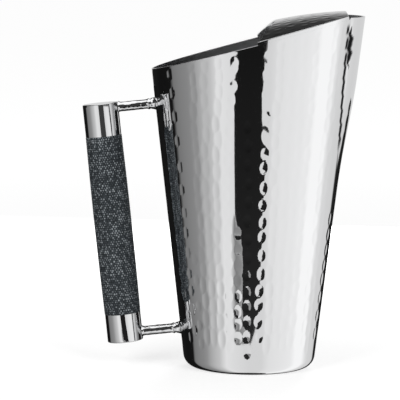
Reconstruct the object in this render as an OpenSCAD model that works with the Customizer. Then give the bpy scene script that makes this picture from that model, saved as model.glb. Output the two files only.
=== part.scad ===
// Tapered pitcher of polished sheet steel. The mouth is slanted, a shallow spout
// is pulled out of the wall at its high side, and a domed ice guard closes the
// front of the mouth behind the spout. A tube handle with a leather wrap stands
// parallel to the wall on two short rods. Millimetres, +Z up, spout towards +X.
// The origin is the middle of the base, on the surface that the pitcher stands on.

/* [Body] */
// Width of the foot, where the line of the wall meets the table
foot_d = 91.5; // [86:0.5:98]
// Height of the rim above the table, taken at the middle of the mouth
mouth_h = 230; // [218:1:245]
// Lean of the wall away from upright, in degrees
wall_lean_a = 6.8; // [6:0.1:7.6]
// Slope of the rim, which rises towards the spout, in degrees
rim_slope_a = 14.9; // [12:0.1:17]
// Thickness of the sheet that the wall is made of
sheet_t = 1; // [0.8:0.1:1.4]
// Outer radius of the heel, between the wall and the base
heel_r = 9; // [6:0.5:12]
// Width of the flat lip under the heel, which the base plate is welded to
heel_lip_w = 1.5; // [1:0.1:3]
// Thickness of the base plate
base_t = 1.2; // [1:0.1:2]

/* [Spout] */
// How far the spout is pulled out beyond the round of the wall
spout_reach = 3.4; // [2:0.1:5]
// Height at which the pull begins
spout_foot_h = 130; // [110:1:145]
// Height from which the pull is full
spout_full_h = 208; // [180:1:215]
// Half the angle that the spout takes of the wall at the rim, in degrees
spout_top_a = 26.5; // [22:0.5:30]
// Half the angle that the spout takes where its pull begins, in degrees
spout_foot_a = 17; // [12:0.5:20]
// How far the level lip lies below the highest point of the rim's own slope
lip_drop = 1; // [0.6:0.1:1.5]

/* [Ice guard] */
// Thickness of the guard's sheet
guard_t = 1; // [0.8:0.1:1.4]
// Height of the guard's crown above the rim
guard_crown_h = 11.5; // [9:0.1:14]
// Height of the guard's turned-down edge at the sides of the mouth
guard_edge_h = 2.1; // [1.8:0.1:3]
// How far the crown lies towards the spout from the middle of the mouth
guard_crown_ahead = 5.6; // [3:0.1:7]
// How far the ends of the guard's rear edge lie towards the spout from that middle
guard_rear_ahead = 1.6; // [0:0.1:8]
// Depth of the hollow curve of the rear edge
guard_rear_hollow = 15; // [8:0.5:20]
// Opening between the front edge of the guard and the tip of the spout
pour_gap = 12.8; // [11:0.1:16]

/* [Handle] */
// Outer width of the tube's metal ends
handle_d = 25.2; // [22:0.2:28]
// Length of the handle
handle_l = 170; // [155:1:180]
// Lean of the handle away from upright, in degrees
handle_lean_a = 6.4; // [5.5:0.1:7.5]
// Height of the middle of the handle
handle_mid_h = 101.4; // [96:0.2:108]
// Level gap for the fingers, from the wall to the metal of the handle
finger_gap = 27; // [22:0.5:34]
// Length of the upper metal end
upper_end_l = 23; // [18:0.5:28]
// Length of the lower metal end
lower_end_l = 20; // [16:0.5:26]
// Thickness of the metal ends
end_t = 1.1; // [0.8:0.1:1.5]
// Thickness of the disc that closes each end
disc_t = 1.5; // [1:0.1:2.5]
// Rounding of the outer edge of each end
end_edge_r = 0.6; // [0.3:0.1:0.9]
// Thickness of the core tube that joins the two ends
core_t = 1.2; // [0.8:0.1:2]
// How far the leather stands proud of the metal beside it
wrap_proud = 0.2; // [0.1:0.05:0.4]
// How much the leather swells at its middle
wrap_swell = 0.5; // [0.2:0.1:0.8]
// Width of the butt seam of the leather, on the side of the wall
wrap_seam_w = 0.4; // [0.3:0.1:0.8]

/* [Stems] */
// Width of the two rods that carry the handle
stem_d = 6.9; // [6:0.1:7.2]
// From the top of the handle down to the axis of the upper rod
upper_stem_in = 3.8; // [3.7:0.1:8]
// From the bottom of the handle up to the axis of the lower rod
lower_stem_in = 5.5; // [4.5:0.1:9]
// Length of the brazed collar that seats each rod on the wall
collar_l = 3; // [2:0.1:4]
// Thickness of the collar where the rod leaves it
collar_t = 0.35; // [0.3:0.05:0.6]
// Extra radius of the collar where it spreads on the wall
collar_flare = 1.1; // [0.6:0.1:1.6]

/* [Hidden] */
$fn = 96;

// Seam left between two pieces that are brazed, welded or glued together
seam = 0.05;
// Overrun of every cut past the faces that it opens
overrun = 5;
// Steel and leather, for a plain view of the model
steel_tone = [0.80, 0.81, 0.83];
leather_tone = [0.20, 0.23, 0.26];

// Rows and columns of the wall's surface
beak_steps = 10;
around_steps = 58;
heel_steps = 5;
wall_steps = 15;
collar_steps = 6;
swell_steps = 12;
// Angle from the crease of the spout to where the rim is back on its slope
shoulder_a = 1.1;

// Rise of the wall's radius and of the rim for each unit of height or reach
wall_k = tan(wall_lean_a);
rim_k = tan(rim_slope_a);

// Smooth passage from 0 to 1 while a share goes from 0 to 1
function clamp(share) = min(1, max(0, share));
function ease(share) = pow(clamp(share), 2) * (3 - 2 * clamp(share));

// Radius of the round wall at a height, on its outer face or inset from it
function wall_r(z, inset = 0) = foot_d / 2 + z * wall_k - inset / cos(wall_lean_a);
// Height at which the sloping rim cuts that face, in the direction a
function slope_z(a, inset = 0) =
    (mouth_h + rim_k * wall_r(0, inset) * cos(a)) / (1 - rim_k * wall_k * cos(a));

// The heel is an arc that touches the table and the line of the wall
heel_x = wall_r(heel_r, heel_r);
foot_r = heel_x - heel_lip_w;
function heel_top_z(inset) = heel_r - (heel_r - inset) * sin(wall_lean_a);

// The lip of the spout is level, a little under the highest point of the slope
lip_h = slope_z(0) - lip_drop;
function rim_z(a, inset) =
    min(a, 360 - a) < spout_top_a + shoulder_a / 2 ? lip_h : slope_z(a, inset);

// Half the angle of the spout at a height
function crease_a(z) =
    spout_foot_a + (spout_top_a - spout_foot_a)
        * clamp((z - spout_foot_h) / (lip_h - spout_foot_h));

// Columns: across the spout from crease to crease, then on round the wall
columns = beak_steps + around_steps + 2;
function column_a(i, z) =
    i <= beak_steps
        ? crease_a(z) * (2 * i / beak_steps - 1)
        : crease_a(z) + shoulder_a
            + (360 - 2 * (crease_a(z) + shoulder_a)) * (i - beak_steps - 1) / around_steps;
function full_turn(a) = a < 0 ? a + 360 : a;

// Pull of the spout: full at its middle line, none at its two creases
function pull(i, z) =
    i > beak_steps ? 0
        : spout_reach * ease((z - spout_foot_h) / (spout_full_h - spout_foot_h))
            * (1 - pow(2 * i / beak_steps - 1, 2));

function polar(r, a, z) = [r * cos(a), r * sin(a), z];

// Points of one row of the lip, of the heel and of the wall
function lip_row(inset) =
    [for (i = [0 : columns - 1]) polar(foot_r, column_a(i, 0), inset)];
function heel_row(share, inset) =
    let (turn = share * (90 - wall_lean_a),
         r = heel_x + (heel_r - inset) * sin(turn),
         z = heel_r - (heel_r - inset) * cos(turn))
    [for (i = [0 : columns - 1]) polar(r, column_a(i, 0), z)];
function wall_row(share, inset) =
    [for (i = [0 : columns - 1])
        let (top = rim_z(full_turn(column_a(i, lip_h)), inset),
             z = heel_top_z(inset) + share * (top - heel_top_z(inset)))
        polar(wall_r(z, inset) + pull(i, z), column_a(i, share * lip_h), z)];

// One face of the sheet from the lip up to the rim
function sheet_rows(inset) = concat(
    [lip_row(inset)],
    [for (j = [0 : heel_steps]) heel_row(j / heel_steps, inset)],
    [for (j = [1 : wall_steps]) wall_row(j / wall_steps, inset)]);

function reversed(rows) = [for (j = [len(rows) - 1 : -1 : 0]) rows[j]];

// Closes a ring of rows, each of the same count of points, into one solid
module ring_of_rows(rows) {
    n = len(rows[0]);
    polyhedron(
        points = [for (row = rows) for (p = row) p],
        faces = [for (j = [0 : len(rows) - 1])
                 for (i = [0 : n - 1])
                 for (half = [0, 1])
                 let (near = j * n, far = ((j + 1) % len(rows)) * n, k = (i + 1) % n)
                 half == 0 ? [near + i, far + i, far + k] : [near + i, far + k, near + k]]);
}

module body_wall() {
    color(steel_tone)
        ring_of_rows(concat(sheet_rows(0), reversed(sheet_rows(sheet_t))));
}

// The plate stays inside the straight sides of the faceted lip
plate_r = foot_r * cos(180 / around_steps) - seam;

module base_plate() {
    color(steel_tone)
        cylinder(r = plate_r, h = base_t, $fn = 128);
}

// The mouth: its ends along the slope, its middle and its half width
mouth_back = [-wall_r(slope_z(180)), slope_z(180)];
mouth_front = [wall_r(slope_z(0)), slope_z(0)];
mouth_mid = (mouth_back + mouth_front) / 2;
mouth_half_l = norm(mouth_front - mouth_back) / 2;
mouth_half_w = wall_r(slope_z(90));

// The guard's dome comes down to its edge height at the sides of the mouth
dome_drop = guard_crown_h - guard_edge_h;
dome_r = (pow(mouth_half_w, 2) + pow(dome_drop, 2)) / (2 * dome_drop);
// Its rear edge is an arc through both ends and the middle of the hollow
rear_r = (pow(mouth_half_w, 2) + pow(guard_rear_hollow, 2)) / (2 * guard_rear_hollow);
guard_front = mouth_half_l + spout_reach - pour_gap;

module in_mouth() {
    translate([mouth_mid[0], 0, mouth_mid[1]])
        rotate([0, -rim_slope_a, 0])
            children();
}

// Solid cone of the wall, inset from its outer face and carried on past the rim
module wall_cone(inset) {
    top = slope_z(0) + guard_crown_h + overrun;
    cylinder(h = top, r1 = wall_r(0, inset), r2 = wall_r(top, inset), $fn = 128);
}

// Front half of the solid under the dome and within the wall, inset from both by
// the thickness of their sheets, down to a floor and carried on by extra each way
module under_dome(wall_inset, dome_inset, floor, extra) {
    span = 2 * (mouth_half_l + overrun);
    intersection() {
        wall_cone(wall_inset);
        intersection() {
            in_mouth()
                translate([guard_crown_ahead, 0, guard_crown_h - dome_r])
                    sphere(r = dome_r - dome_inset, $fn = 256);
            in_mouth()
                translate([-extra, -span / 2, floor])
                    cube([guard_front + 2 * extra, span, guard_crown_h + overrun]);
        }
    }
}

module ice_guard() {
    color(steel_tone)
        difference() {
            under_dome(0, 0, seam, 0);
            under_dome(sheet_t, guard_t, -overrun, overrun / 2);
            // Rear of the mouth, left open behind a hollow curve
            in_mouth()
                translate([guard_rear_ahead + guard_rear_hollow - rear_r, 0, -overrun])
                    cylinder(r = rear_r, h = guard_crown_h + 3 * overrun, $fn = 256);
        }
}

// The handle's own frame: its lower end at zero, its axis up, the wall towards +X
handle_r = handle_d / 2;
handle_mid_x = -(wall_r(handle_mid_h) + finger_gap + handle_r / cos(handle_lean_a));

module at_handle() {
    translate([handle_mid_x, 0, handle_mid_h])
        rotate([0, -handle_lean_a, 0])
            translate([0, 0, -handle_l / 2])
                children();
}

end_bore_r = handle_r - end_t;
core_r = end_bore_r - seam;
// The core stops at the discs
core_l = handle_l - 2 * (disc_t + seam);
wrap_l = handle_l - upper_end_l - lower_end_l - 2 * seam;

// Metal end with its mouth at zero and its rounded outer edge at the far side
module end_sleeve(length) {
    edge = [for (turn = [0 : 15 : 90])
        [handle_r - end_edge_r + end_edge_r * cos(turn),
         length - end_edge_r + end_edge_r * sin(turn)]];
    color(steel_tone)
        rotate_extrude()
            polygon(concat([[end_bore_r, 0], [handle_r, 0]], edge, [[end_bore_r, length]]));
}

module upper_end() {
    at_handle()
        translate([0, 0, handle_l - upper_end_l])
            end_sleeve(upper_end_l);
}

module lower_end() {
    at_handle()
        translate([0, 0, lower_end_l])
            mirror([0, 0, 1])
                end_sleeve(lower_end_l);
}

module end_disc() {
    color(steel_tone)
        cylinder(r = core_r, h = disc_t);
}

module upper_disc() {
    at_handle()
        translate([0, 0, handle_l - disc_t])
            end_disc();
}

module lower_disc() {
    at_handle()
        end_disc();
}

module core_tube() {
    at_handle()
        translate([0, 0, disc_t + seam])
            color(steel_tone)
                difference() {
                    cylinder(r = core_r, h = core_l);
                    translate([0, 0, -overrun])
                        cylinder(r = core_r - core_t, h = core_l + 2 * overrun);
                }
}

// One strip of leather, glued round the core with its butt seam towards the wall
module leather_wrap() {
    outside = [for (j = [0 : swell_steps])
        [handle_r + wrap_proud + wrap_swell * sin(180 * j / swell_steps),
         wrap_l * j / swell_steps]];
    at_handle()
        translate([0, 0, lower_end_l + seam])
            color(leather_tone)
                difference() {
                    rotate_extrude()
                        polygon(concat([[core_r + seam, 0]], outside, [[core_r + seam, wrap_l]]));
                    translate([0, -wrap_seam_w / 2, -overrun])
                        cube([handle_d, wrap_seam_w, wrap_l + 2 * overrun]);
                }
}

// Where the axes of the two rods lie along the handle
upper_stem_at = handle_l - upper_stem_in;
lower_stem_at = lower_stem_in;

// Height and distance of the wall where a rod at that place meets it
function stem_wall_x(at) =
    let (up = handle_mid_h + (at - handle_l / 2) * cos(handle_lean_a),
         out = handle_mid_x - (at - handle_l / 2) * sin(handle_lean_a),
         rise = tan(handle_lean_a))
    // Along the rod the height grows by rise for each unit towards the wall
    (-wall_r(up) - out) / (1 + rise * wall_k) / cos(handle_lean_a);

// Places its children on the axis of a rod, which runs from zero towards the wall
module on_stem(at) {
    at_handle()
        translate([0, 0, at])
            rotate([0, 90, 0])
                children();
}

module stem(at) {
    color(steel_tone)
        difference() {
            on_stem(at)
                cylinder(d = stem_d, h = stem_wall_x(at) + overrun, $fn = 48);
            wall_cone(0);
            at_handle()
                translate([0, 0, -overrun])
                    cylinder(r = handle_r + seam, h = handle_l + 2 * overrun);
        }
}

module upper_stem() {
    stem(upper_stem_at);
}

module lower_stem() {
    stem(lower_stem_at);
}

// Ring round the rod's end that spreads in a hollow curve where it meets the wall
module collar(at) {
    bore_r = stem_d / 2 + seam;
    curve = [for (j = [0 : collar_steps])
        let (turn = 90 * j / collar_steps)
        [bore_r + collar_t + collar_flare * (1 - cos(turn)), collar_l * sin(turn)]];
    color(steel_tone)
        difference() {
            on_stem(at)
                translate([0, 0, stem_wall_x(at) - collar_l])
                    rotate_extrude($fn = 48)
                        polygon(concat([[bore_r, 0]], curve,
                            [[bore_r + collar_t + collar_flare, collar_l + overrun],
                             [bore_r, collar_l + overrun]]));
            wall_cone(0);
        }
}

module upper_collar() {
    collar(upper_stem_at);
}

module lower_collar() {
    collar(lower_stem_at);
}

body_wall();
base_plate();
ice_guard();
upper_stem();
lower_stem();
upper_collar();
lower_collar();
core_tube();
upper_end();
lower_end();
upper_disc();
lower_disc();
leather_wrap();
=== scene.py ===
# %% [markdown]
# # A hammered steel pitcher with a leather grip
# The real pitcher is one sheet of stainless steel, spun into a leaning cone,
# hammered all over and polished to a mirror. A domed ice guard closes the front
# of the slanted mouth, and a tube handle stands on two short rods. The packed
# model already gives every piece its size and place. This lesson dresses it: the
# hammer marks become real hollows in the mesh, the leather gets its grains, and
# a small studio gives the steel something to mirror.

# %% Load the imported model
import math

import bmesh
import bpy
import numpy as np
from mathutils import Matrix, Vector


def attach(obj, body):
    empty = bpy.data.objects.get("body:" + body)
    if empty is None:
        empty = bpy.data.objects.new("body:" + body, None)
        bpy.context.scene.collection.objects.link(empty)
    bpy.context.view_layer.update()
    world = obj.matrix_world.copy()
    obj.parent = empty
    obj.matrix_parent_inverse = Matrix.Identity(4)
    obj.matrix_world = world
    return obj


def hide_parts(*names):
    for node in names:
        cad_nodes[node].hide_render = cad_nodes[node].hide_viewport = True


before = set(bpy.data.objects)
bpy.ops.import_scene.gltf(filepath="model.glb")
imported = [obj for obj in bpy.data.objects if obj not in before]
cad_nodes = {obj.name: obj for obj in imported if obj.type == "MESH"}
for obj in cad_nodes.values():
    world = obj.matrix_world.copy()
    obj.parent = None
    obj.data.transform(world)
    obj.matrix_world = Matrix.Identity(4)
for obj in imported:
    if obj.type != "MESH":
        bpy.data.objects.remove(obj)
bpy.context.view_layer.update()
print("pieces in the packed model:", len(cad_nodes))

# %% [markdown]
# ## The camera comes first
# A long lens stands almost two metres away, a little above the rim, and looks
# slightly down. It could be placed by eye, but the outline of a cone is easy to
# fit, so these few numbers come from matching the rim, the foot and the handle.
# With the camera fixed, every later choice can be judged against the photograph.

# %% Camera
PHOTO_SIDE = 400
FOCAL_LENGTH = 2433.2
SENSOR_WIDTH = 36.0
CAMERA_PLACE = Vector((0.0, -1.7133, 0.3007))
CAMERA_PAN = math.radians(-1.2)
CAMERA_PITCH = math.radians(6.084)
CAMERA_ROLL = math.radians(0.545)


def make_camera():
    """A camera at the photograph's angle, built from its pan, pitch and roll."""
    ahead = Vector((
        math.sin(CAMERA_PAN) * math.cos(CAMERA_PITCH),
        math.cos(CAMERA_PAN) * math.cos(CAMERA_PITCH),
        -math.sin(CAMERA_PITCH),
    ))
    level = Vector((math.cos(CAMERA_PAN), -math.sin(CAMERA_PAN), 0.0))
    upright = level.cross(ahead)
    right = level * math.cos(CAMERA_ROLL) + upright * math.sin(CAMERA_ROLL)
    up = upright * math.cos(CAMERA_ROLL) - level * math.sin(CAMERA_ROLL)
    data = bpy.data.cameras.new("camera")
    data.sensor_width = SENSOR_WIDTH
    data.lens = FOCAL_LENGTH / PHOTO_SIDE * SENSOR_WIDTH
    camera = bpy.data.objects.new("camera", data)
    camera.matrix_world = Matrix((
        (right.x, up.x, -ahead.x, CAMERA_PLACE.x),
        (right.y, up.y, -ahead.y, CAMERA_PLACE.y),
        (right.z, up.z, -ahead.z, CAMERA_PLACE.z),
        (0.0, 0.0, 0.0, 1.0),
    ))
    bpy.context.scene.collection.objects.link(camera)
    bpy.context.scene.camera = camera
    return camera


camera = make_camera()
print("lens in millimetres:", round(camera.data.lens, 1))

# %% [markdown]
# ## Helpers for meshes and node trees
# Every visible shape here is a sheet of rows and columns, like a net pulled over
# the form. Mesh code suits it well, because the hammer marks and the grains can
# be worked out for all points at once. A second helper adds shader nodes in one
# line each, so that a material reads like a recipe.

# %% Mesh helpers
MM = 0.001
SMOOTH_ANGLE = math.radians(38)


def new_mesh(name, points, faces, material, normals=None):
    """A smooth mesh object. Without given normals, edges over SMOOTH_ANGLE stay crisp."""
    mesh = bpy.data.meshes.new(name)
    mesh.from_pydata(np.asarray(points).tolist(), [], faces)
    mesh.update()
    if normals is None:
        turn_outwards(mesh)
    mesh.shade_smooth()
    if normals is None:
        mesh.set_sharp_from_angle(angle=SMOOTH_ANGLE)
    else:
        mesh.normals_split_custom_set_from_vertices(np.asarray(normals).tolist())
    mesh.materials.append(material)
    piece = bpy.data.objects.new(name, mesh)
    bpy.context.scene.collection.objects.link(piece)
    return piece


def turn_outwards(mesh):
    """Turns every face of a closed solid so that it looks outwards."""
    work = bmesh.new()
    work.from_mesh(mesh)
    bmesh.ops.recalc_face_normals(work, faces=work.faces)
    work.to_mesh(mesh)
    work.free()


def store(piece, name, values):
    """Keeps one number for each point of a mesh, for its material to read."""
    attribute = piece.data.attributes.new(name, "FLOAT", "POINT")
    attribute.data.foreach_set("value", np.ravel(values).astype(np.float32))


def net_faces(rows, columns, ring=False):
    """Quads of a net whose columns close up. A ring's last row meets its first."""
    index = np.arange(rows * columns).reshape(rows, columns)
    low = index if ring else index[:-1]
    high = np.roll(index, -1, axis=0) if ring else index[1:]
    quads = np.stack([low, np.roll(low, -1, 1), np.roll(high, -1, 1), high], -1)
    return quads.reshape(-1, 4).tolist()


def capped_net(name, rows, material):
    """A closed solid from a stack of rings, with a face on both ends."""
    rows = np.asarray(rows)
    count, across, _ = rows.shape
    faces = net_faces(count, across)
    faces.append(list(range(across))[::-1])
    faces.append(list(range((count - 1) * across, count * across)))
    return new_mesh(name, rows.reshape(-1, 3), faces, material)


def ring_net(name, rows, material, normals=None):
    """A closed solid with a hole through it, from rows that run right round it."""
    rows = np.asarray(rows)
    faces = net_faces(rows.shape[0], rows.shape[1], ring=True)
    flat = None if normals is None else np.asarray(normals).reshape(-1, 3)
    return new_mesh(name, rows.reshape(-1, 3), faces, material, flat)


def dress(piece, slot, *stands_for):
    """Says what a piece rides on and which node it replaces. Its slot is not used."""
    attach(piece, "root")
    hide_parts(*stands_for)
    print(piece.name, "has", len(piece.data.polygons), "faces")


# %% Node helpers
def new_material(name):
    """A material with its Principled shader, returned with its node tree."""
    material = bpy.data.materials.new(name)
    material.use_nodes = True
    return material, material.node_tree, material.node_tree.nodes["Principled BSDF"]


def add(tree, kind, feeds=(), **settings):
    """Adds a node, sets it up, and fills its inputs with links or plain values."""
    node = tree.nodes.new(kind)
    for name, value in settings.items():
        setattr(node, name, value)
    for socket, value in dict(feeds).items():
        if hasattr(value, "is_linked"):
            tree.links.new(value, node.inputs[socket])
        else:
            node.inputs[socket].default_value = value
    return node


def blend_ramp(tree, factor, stops):
    """A colour ramp. Stops are pairs of a position and an RGB colour."""
    node = add(tree, "ShaderNodeValToRGB", {"Fac": factor})
    ramp = node.color_ramp.elements
    while len(ramp) < len(stops):
        ramp.new(1.0)
    for element, (position, colour) in zip(ramp, stops):
        element.position = position
        element.color = (*colour, 1.0)
    return node.outputs["Color"]


def tone(level):
    """Linear brightness of a grey that a screen shows at level, from 0 to 1."""
    return ((level + 0.055) / 1.055) ** 2.4 if level > 0.04 else level / 12.92


print("a mid grey card is", round(tone(0.5), 3))

# %% [markdown]
# ## What the steel mirrors
# A mirror has no look of its own: the pitcher shows its studio. The photograph
# has a narrow black band down the front, greys that darken to the left, a white
# card to the right and mostly black behind. The wall leans outwards and the camera looks
# down, so the front of the wall mirrors what lies low in front of it. A world
# colour alone could not give that, so a ring of graded cards stands round a graded
# base a little below the table, and a black flag lies on it with its point towards
# the foot. These cards are seen only by the steel. The camera sees a white table.

# %% Tones round the pitcher
STEEL_SHINE = 0.88
CARD_STEP = 5
CARD_HOLE_R = 0.024
CARD_REACH = 1.2
CARD_BASE = -0.067
CARD_TOP = 0.20
CARD_FADE = 0.12
ABOVE_CARDS = 0.24
# Angle round the pitcher, from the camera's side towards the right, and tone
CARD_TONES = [
    (-172, 0.10), (-158, 0.13), (-146, 0.09), (-128, 0.07), (-107, 0.08),
    (-102, 0.45), (-92, 0.49), (-80, 0.52), (-72, 0.56), (-66, 0.63), (-60, 0.68),
    (-54, 0.72), (-48, 0.75), (-42, 0.82), (-36, 0.88), (-24, 0.86), (0, 0.83),
    (20, 0.83), (32, 0.88), (60, 0.905), (72, 0.92), (82, 0.97), (98, 0.97),
    (108, 0.88), (116, 0.83), (139, 0.80), (143, 0.12), (170, 0.09),
]


def only_for_steel(card):
    """Keeps a studio card out of everything but reflections."""
    card.visible_camera = False
    card.visible_diffuse = False
    card.visible_transmission = False
    card.visible_shadow = False
    return card


def glowing(name, level):
    """A card of one even tone."""
    material = bpy.data.materials.new(name)
    material.use_nodes = True
    material.cycles.emission_sampling = "NONE"
    tree = material.node_tree
    tree.nodes.clear()
    shader = add(tree, "ShaderNodeEmission", {"Strength": tone(level) / STEEL_SHINE})
    add(tree, "ShaderNodeOutputMaterial", {"Surface": shader.outputs[0]})
    return material


def closed_round(stops):
    """Gives the ramp the same tone at both of its ends, where the circle closes."""
    (low, low_tone), (high, high_tone) = stops[0], stops[-1]
    share = (1.0 - high) / (1.0 - high + low)
    joint = tuple(a + (b - a) * share for a, b in zip(high_tone, low_tone))
    return [(0.0, joint), *stops, (1.0, joint)]


def graded_material():
    """The tone changes with the angle round the pitcher and ends above the cards."""
    material = glowing("graded_cards", 1.0)
    tree = material.node_tree
    place = tree.nodes.new("ShaderNodeTexCoord").outputs["Object"]
    angle = add(tree, "ShaderNodeTexGradient", {"Vector": place}, gradient_type="RADIAL")
    stops = [((0.25 + turn / 360) % 1.0, (tone(level),) * 3) for turn, level in CARD_TONES]
    colour = blend_ramp(tree, angle.outputs["Fac"], closed_round(sorted(stops)))
    height = add(tree, "ShaderNodeSeparateXYZ", {"Vector": place})
    fade = add(tree, "ShaderNodeMapRange", {
        "Value": height.outputs["Z"], "From Min": CARD_TOP, "From Max": CARD_TOP + CARD_FADE,
        "To Min": 1.0 / STEEL_SHINE, "To Max": tone(ABOVE_CARDS),
    })
    shader = tree.nodes["Emission"]
    tree.links.new(colour, shader.inputs["Color"])
    tree.links.new(fade.outputs["Result"], shader.inputs["Strength"])
    return material


print("tones round the pitcher:", len(CARD_TONES))

# %% Cards that only the steel sees
FLAG_RIGHT = [
    (0.010, -0.255), (0.044, -0.281), (0.071, -0.306), (0.093, -0.337),
    (0.098, -0.382), (0.117, -0.426), (0.135, -0.471), (0.142, -0.522),
    (0.170, -0.569), (0.190, -0.625), (0.221, -0.676), (0.215, -0.741),
    (0.173, -0.815), (0.179, -0.883), (0.215, -0.948), (0.248, -1.020), (0.310, -1.060),
]
FLAG_LEFT = [
    (-0.010, -0.262), (-0.040, -0.292), (-0.052, -0.309), (-0.062, -0.343),
    (-0.068, -0.387), (-0.076, -0.433), (-0.105, -0.477), (-0.161, -0.503),
    (-0.193, -0.521), (-0.210, -0.558), (-0.230, -0.611), (-0.260, -0.696),
    (-0.289, -0.787), (-0.314, -0.851), (-0.317, -0.925), (-0.319, -1.003), (-0.310, -1.060),
]
GREY_LEFT = [
    (-0.065, -0.250), (-0.120, -0.267), (-0.145, -0.287), (-0.164, -0.326),
    (-0.183, -0.368), (-0.203, -0.411), (-0.222, -0.456), (-0.225, -0.495), (-0.210, -0.521),
]
NEAR_FLAG_TONE = 0.155
FAR_FLAG_TONE = 0.085
GREY_TONES = (0.82, 0.48, 0.60)
GREY_MIDDLE = 0.45
REAR_CORNERS = ((0.90, 1.10), (-0.90, 1.10))
REAR_TONES = [(0.12, 0.84), (0.40, 0.76), (0.56, 0.45), (0.70, 0.22), (1.10, 0.08)]
PANEL_AHEAD = (-0.75, 0.45)
PANEL_ASIDE = (-0.70, 0.70)
PANEL_H = 1.0


def lit_card(name, lines, tones):
    """A card woven between lines of points. Its tone is given at every point."""
    points = [point for line in lines for point in line]
    count = len(lines[0])
    faces = [[a, a + 1, a + 1 + count, a + count]
             for first in range(0, count * (len(lines) - 1), count)
             for a in range(first, first + count - 1)]
    card = new_mesh(name, points, faces, glowing(name, 1.0))
    store(card, "light", [tone(level) / STEEL_SHINE for line in tones for level in line])
    tree = card.data.materials[0].node_tree
    given = add(tree, "ShaderNodeAttribute", attribute_name="light").outputs["Fac"]
    tree.links.new(given, tree.nodes["Emission"].inputs["Strength"])
    return only_for_steel(card)


def lying_card(name, lines, tones, height):
    """A level card between lines drawn from above."""
    return lit_card(name, [[(x, y, height) for x, y in line] for line in lines], tones)


def standing_card(name, left, right, low, high, level):
    """An upright card between two corners."""
    points = [(*left, low), (*right, low), (*right, high), (*left, high)]
    return only_for_steel(new_mesh(name, points, [[0, 1, 2, 3]], glowing(name, level)))


def fading_card(name, left, right, stops):
    """An upright card whose tone changes with its height."""
    low, high = stops[0][0], stops[-1][0]
    card = standing_card(name, left, right, low, high, 1.0)
    tree = card.data.materials[0].node_tree
    place = tree.nodes.new("ShaderNodeTexCoord").outputs["Object"]
    height = add(tree, "ShaderNodeSeparateXYZ", {"Vector": place}).outputs["Z"]
    share = add(tree, "ShaderNodeMapRange", {
        "Value": height, "From Min": low, "From Max": high}).outputs["Result"]
    tones = [((z - low) / (high - low), (tone(level),) * 3) for z, level in stops]
    tree.links.new(blend_ramp(tree, share, tones), tree.nodes["Emission"].inputs["Color"])
    return card


def studio_cards():
    """The graded base and the ring of cards round it, as one bowl."""
    turns = np.radians(np.arange(0, 360, CARD_STEP))
    top = CARD_TOP + CARD_FADE
    rings = [(CARD_HOLE_R, CARD_BASE), (CARD_REACH, CARD_BASE), (CARD_REACH, top)]
    rows = [[(r * math.cos(a), r * math.sin(a), z) for a in turns] for r, z in rings]
    points = np.asarray(rows).reshape(-1, 3)
    faces = net_faces(len(rings), len(turns))
    return only_for_steel(new_mesh("studio_cards", points, faces, graded_material()))


def off_centre(turn, reach):
    """A place round the pitcher, by its angle from the camera's side to the right."""
    return (reach * math.sin(math.radians(turn)), -reach * math.cos(math.radians(turn)))


# Upright cards: two corners seen from above, lowest and highest point, and tone
STANDING_CARDS = {
    "black_flag_foot": (FLAG_LEFT[-1], FLAG_RIGHT[-1], CARD_BASE, 0.0, FAR_FLAG_TONE),
    "black_flag_back": (FLAG_LEFT[-1], FLAG_RIGHT[-1], 0.0, 0.30, 0.23),
    "right_rear_card": (off_centre(132, 1.17), off_centre(176, 1.15), 0.03, 0.30, 0.81),
    "left_rear_card": (off_centre(-94, 1.15), off_centre(-128, 1.15), 0.05, 0.30, 0.08),
}
studio_cards()
black_tones = np.linspace(NEAR_FLAG_TONE, FAR_FLAG_TONE, len(FLAG_LEFT))
lying_card("black_flag", [FLAG_LEFT, FLAG_RIGHT], [black_tones] * 2, CARD_BASE + 2 * MM)
grey_right = FLAG_LEFT[:len(GREY_LEFT)]
grey_middle = [tuple(a + GREY_MIDDLE * (b - a) for a, b in zip(p, q))
               for p, q in zip(GREY_LEFT, grey_right)]
lying_card("grey_flag", [GREY_LEFT, grey_middle, grey_right],
           [[level] * len(GREY_LEFT) for level in GREY_TONES], CARD_BASE + 1 * MM)
for name, settings in STANDING_CARDS.items():
    standing_card(name, *settings)
fading_card("rear_card", *REAR_CORNERS, REAR_TONES)
panel_sides = [[(x, y) for y in PANEL_AHEAD] for x in PANEL_ASIDE]
lying_card("overhead_panel", panel_sides, [[1.0, 1.0]] * 2, PANEL_H)

# %% [markdown]
# ## Table, world and lamps
# The leather and the table need ordinary light. Two wide, soft lamps in front and an
# even world give it without hard shadows, as in a product studio. A small lamp
# behind lights the side of the grip that only its mirror image in the wall shows.
# The table looks white where nothing shades it and keeps the pitcher's faint shadow.

# %% Table
FLOOR_HALF = 15.0
FLOOR_COLOUR = (0.42, 0.42, 0.42, 1.0)
GLOW_REACH = (0.1, 1.6)
NEAR_GLOW = 0.595
FAR_GLOW = 0.76


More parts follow.
